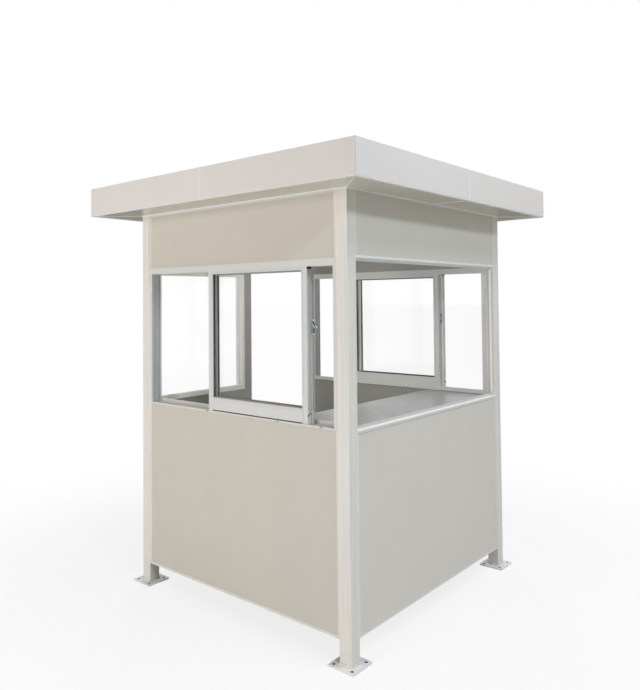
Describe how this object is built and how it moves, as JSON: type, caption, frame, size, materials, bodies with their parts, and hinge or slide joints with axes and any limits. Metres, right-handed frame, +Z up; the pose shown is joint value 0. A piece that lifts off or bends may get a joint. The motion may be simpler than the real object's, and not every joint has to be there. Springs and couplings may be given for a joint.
{
  "type": "security guard booth",
  "caption": "Square guard booth on steel posts with sandwich-panel walls, sliding windows, an open doorway, an inside counter and a flat roof with a deep fascia.",
  "frame": {"origin": "on the ground, at the middle of the booth's plan", "axes": "+Z up; the two-sash front window faces -Y; the counter side faces +X; the doorway faces -X"},
  "size_m": [1.912, 1.912, 2.247],
  "materials": {
    "post_paint": "satin sprayed enamel",
    "frame_primer": "matt grey primer",
    "panel_skin_front": "satin coil-coated steel, warm grey",
    "panel_skin_side": "satin coil-coated steel, warm grey",
    "ceiling_skin": "satin coil-coated steel",
    "soffit_sheet": "semi-gloss coil-coated steel",
    "roof_skin": "satin coil-coated steel",
    "fascia_sheet": "semi-gloss coil-coated steel",
    "window_aluminium": "white powder-coated aluminium",
    "window_glass": "clear float glass",
    "counter_laminate": "glossy pale laminate",
    "floor_vinyl": "matt grey vinyl sheet on board",
    "latch_metal": "zinc plated die casting",
    "gasket_rubber": "black glazing gasket"
  },
  "bodies": {
    "root": {"base_plates": "post_paint", "post_front_left": "post_paint", "post_front_right": "post_paint", "post_back_left": "post_paint", "post_back_right": "post_paint", "door_post": "post_paint", "floor_beams_long": "frame_primer", "floor_beams_short": "frame_primer", "floor_deck": "floor_vinyl", "door_threshold": "post_paint", "front_lower_panel": "panel_skin_front", "right_lower_panel": "panel_skin_side", "back_lower_panel": "panel_skin_front", "left_lower_panel": "panel_skin_side", "front_upper_panel": "panel_skin_front", "right_upper_panel": "panel_skin_side", "back_upper_panel": "panel_skin_front", "left_upper_panel": "panel_skin_side", "door_head_panel": "panel_skin_side", "front_window_frame": "window_aluminium", "front_outer_sash": "window_aluminium", "front_inner_sash": "window_aluminium", "front_window_glass": "window_glass", "back_window_frame": "window_aluminium", "back_outer_sash": "window_aluminium", "back_inner_sash": "window_aluminium", "back_window_glass": "window_glass", "left_window_frame": "window_aluminium", "left_window_glass": "window_glass", "panel_edge_angles": "post_paint", "right_sill_trim": "window_aluminium", "right_head_trim": "window_aluminium", "right_window_glass": "window_glass", "counter": "counter_laminate", "sash_latches": "latch_metal", "roof_beams_long": "frame_primer", "roof_beams_short": "frame_primer", "ceiling_panel": "ceiling_skin", "soffit_panels": "soffit_sheet", "roof_deck": "roof_skin", "fascia_front": "fascia_sheet", "fascia_right": "fascia_sheet", "fascia_back": "fascia_sheet", "fascia_left": "fascia_sheet"}
  },
  "joints": []
}
